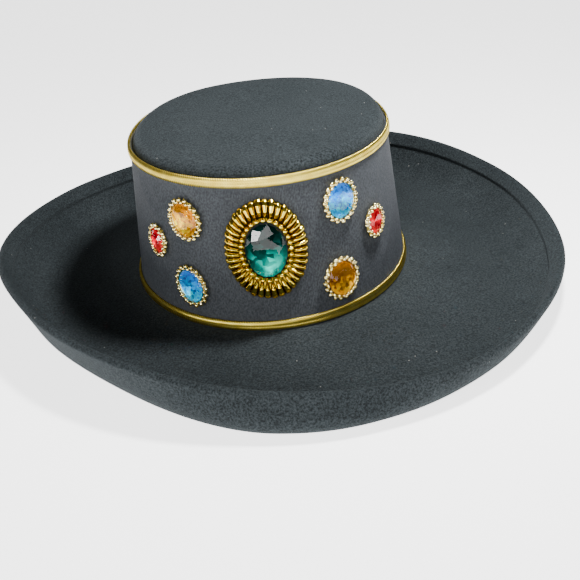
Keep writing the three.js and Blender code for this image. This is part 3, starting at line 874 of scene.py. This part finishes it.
braid_gold = gold_material("braid_gold", (1.0, 0.8, 0.14), (0.82, 0.6, 0.08), 220.0, 0.32, 0.4)
petal_gold = gold_material("petal_gold", (1.0, 0.77, 0.1), (0.9, 0.6, 0.05), 160.0, 0.15, 0.2)
bead_gold = gold_material("bead_gold", (1.0, 0.89, 0.5), (0.9, 0.74, 0.26), 260.0, 0.16, 0.2)
for piece in (upper_braid, lower_braid):
    dress(piece, braid_gold)
dress(centre_setting, petal_gold)
for piece in small_settings.values():
    dress(piece, bead_gold)

# %% [markdown]
# Glass stones
#
# Costume stones are coloured glass with a mirror foil behind. Light goes in through the crown, bounces off the
# foil's facets and comes out again through other facets, which is what makes them sparkle. So the crown is
# clear tinted glass and the faces behind the girdle are a coloured metal. The foil also glows a little and is
# painted brighter towards one side, as painted light for the light bounced inside the stone.

# %% Stone materials
# The glass's tint, the foil's colours from the side away from the glow to the side where it is painted
# brightest as painted light, and the size of the foil's patches.
STONE_COLOURS = {
    "emerald": {
        "glass": (0.6, 1.0, 0.92), "foil": [(0.0, 0.018, 0.015), (0.0, 0.045, 0.038), (0.0, 0.3, 0.25)], "patches": 260,
    },
    "orange": {"glass": (1.0, 0.88, 0.3), "foil": [(0.7, 0.3, 0.0), (0.85, 0.42, 0.0), (0.9, 0.6, 0.0)], "patches": 620},
    "amber": {"glass": (1.0, 0.86, 0.4), "foil": [(0.7, 0.32, 0.0), (0.2, 0.08, 0.0), (0.9, 0.5, 0.0)], "patches": 520},
    "blue": {"glass": (0.75, 0.95, 1.0), "foil": [(0.08, 0.3, 0.9), (0.0, 0.4, 1.0), (0.0, 0.75, 1.0)], "patches": 700},
    "red": {"glass": (1.0, 0.75, 0.75), "foil": [(0.7, 0.0, 0.03), (0.9, 0.0, 0.03), (1.0, 0.06, 0.06)], "patches": 700},
}
# Painted light: the foil emits its own colour at this strength, standing in for light bounced inside the stone.
PAINTED_FOIL_GLOW = 0.3


def stone_materials(name, colours):
    tree, shader, glass = new_material(name + "_glass", roughness=0.02, ior=1.4, transmission_weight=1.0)
    place = add_node(tree, "TexCoord").outputs["Object"]
    cloud = add_node(tree, "TexNoise", {"Vector": place, "Scale": 120.0, "Detail": 2.0})
    deeper = tuple(value * 0.9 for value in colours["glass"])
    tint = ramp(tree, cloud.outputs["Fac"], [(0.3, colours["glass"]), (0.7, deeper)])
    tree.links.new(tint, shader.inputs["Base Color"])
    tree, shader, foil = new_material(name + "_foil", roughness=0.3, metallic=1.0, emission_strength=PAINTED_FOIL_GLOW)
    place = add_node(tree, "TexCoord").outputs["Object"]
    patches = add_node(tree, "TexVoronoi", {"Vector": place, "Scale": float(colours["patches"])}, feature="F1")
    # Painted light: the glow share brightens the foil's colour towards one side of the stone, shifted by the patches.
    glow = add_node(tree, "Attribute", attribute_name="glow").outputs["Fac"]
    uneven = add_node(tree, "MapRange", {0: patches.outputs["Color"], 3: -0.2, 4: 0.2}).outputs[0]
    gathered = add_node(tree, "Math", {0: glow, 1: uneven}, operation="ADD").outputs[0]
    tint = ramp(tree, gathered, list(zip((0.15, 0.5, 0.85), colours["foil"])))
    # The patches' tone is partly the foil's own uneven colour and, through the emission, partly painted sparkle.
    foil_patches_and_sparkle = ramp(tree, patches.outputs["Color"], [(0.1, (0.45, 0.45, 0.45)), (0.9, (1.5, 1.5, 1.5))])
    toned = add_node(tree, "MixRGB", {"Fac": 1.0, "Color1": tint, "Color2": foil_patches_and_sparkle}, blend_type="MULTIPLY")
    tree.links.new(toned.outputs[0], shader.inputs["Base Color"])
    # The same colour is emitted, as painted light.
    tree.links.new(toned.outputs[0], shader.inputs["Emission Color"])
    return glass, foil


stone_pairs = {name: stone_materials(name, colours) for name, colours in STONE_COLOURS.items()}
for name, piece in stones.items():
    dress(piece, *stone_pairs[SMALL[name]["stone"] if name in SMALL else "emerald"])

# %% [markdown]
# Floor, light and camera
#
# The hat stands on a pale floor in a bright studio. The main light comes from the right and high up, as the
# crown's shadow on the left of the brim shows. A wide soft light in front fills the ribbon and gives the
# gold its bright bands. The camera stands where one perspective fit of the hat's outline put it.

# %% The stage
bm = bmesh.new()
bmesh.ops.create_grid(bm, x_segments=1, y_segments=1, size=6.0)
mesh = bpy.data.meshes.new("floor")
bm.to_mesh(mesh)
bm.free()
floor = bpy.data.objects.new("floor", mesh)
bpy.context.scene.collection.objects.link(floor)
tree, shader, floor_material = new_material(
    "pale_floor", roughness=0.9, base_color=(0.9, 0.9, 0.9, 1.0), emission_color=(1.0, 1.0, 1.0, 1.0), emission_strength=2.6
)
dress(floor, floor_material)

world = bpy.data.worlds.new("studio")
bpy.context.scene.world = world
world.use_nodes = True
world.node_tree.nodes["Background"].inputs["Color"].default_value = (0.95, 0.97, 1.0, 1.0)
world.node_tree.nodes["Background"].inputs["Strength"].default_value = 0.06


def soft_light(name, place, size, power):
    """A square light at a place in mm from the crown's foot, aimed at the middle of the crown."""
    data = bpy.data.lights.new(name, "AREA")
    data.shape = "RECTANGLE"
    data.size, data.size_y = size
    data.energy = power
    lamp = bpy.data.objects.new(name, data)
    middle = Vector((0, 0, CROWN_HEIGHT / 2))
    lamp.location = (Vector(foot) + Vector(place)) * MM
    lamp.rotation_euler = (Vector(place) - middle).to_track_quat("Z", "Y").to_euler()
    bpy.context.scene.collection.objects.link(lamp)
    return lamp


def around_hat(azimuth, elevation, distance):
    """A place in mm, with azimuth 0 at the front and 90 at +X."""
    turn, lift = math.radians(azimuth), math.radians(elevation)
    flat_reach = distance * math.cos(lift)
    return flat_reach * math.sin(turn), -flat_reach * math.cos(turn), distance * math.sin(lift) + CROWN_HEIGHT / 2


soft_light("main", (176, -52, 475), (0.07, 0.07), 6.2)
soft_light("lamp", around_hat(-43, 15, 1600), (0.28, 0.28), 11)
soft_light("panel", around_hat(-3, 16, 1800), (1.1, 0.9), 21)

# %% The camera
camera_data = bpy.data.cameras.new("camera")
camera_data.lens = 58.97
camera_data.sensor_width = 36.0
camera = bpy.data.objects.new("camera", camera_data)
camera.location = (0.01341, -0.57878, 0.2762)
CAMERA_AZIMUTH, CAMERA_ELEVATION, CAMERA_ROLL = 0.0143, 0.4713, 0.0845
camera.rotation_euler = (
    Euler((0, 0, CAMERA_AZIMUTH)).to_matrix()
    @ Euler((math.pi / 2 - CAMERA_ELEVATION, 0, 0)).to_matrix()
    @ Euler((0, 0, -CAMERA_ROLL)).to_matrix()
).to_euler()
bpy.context.scene.collection.objects.link(camera)
bpy.context.scene.camera = camera
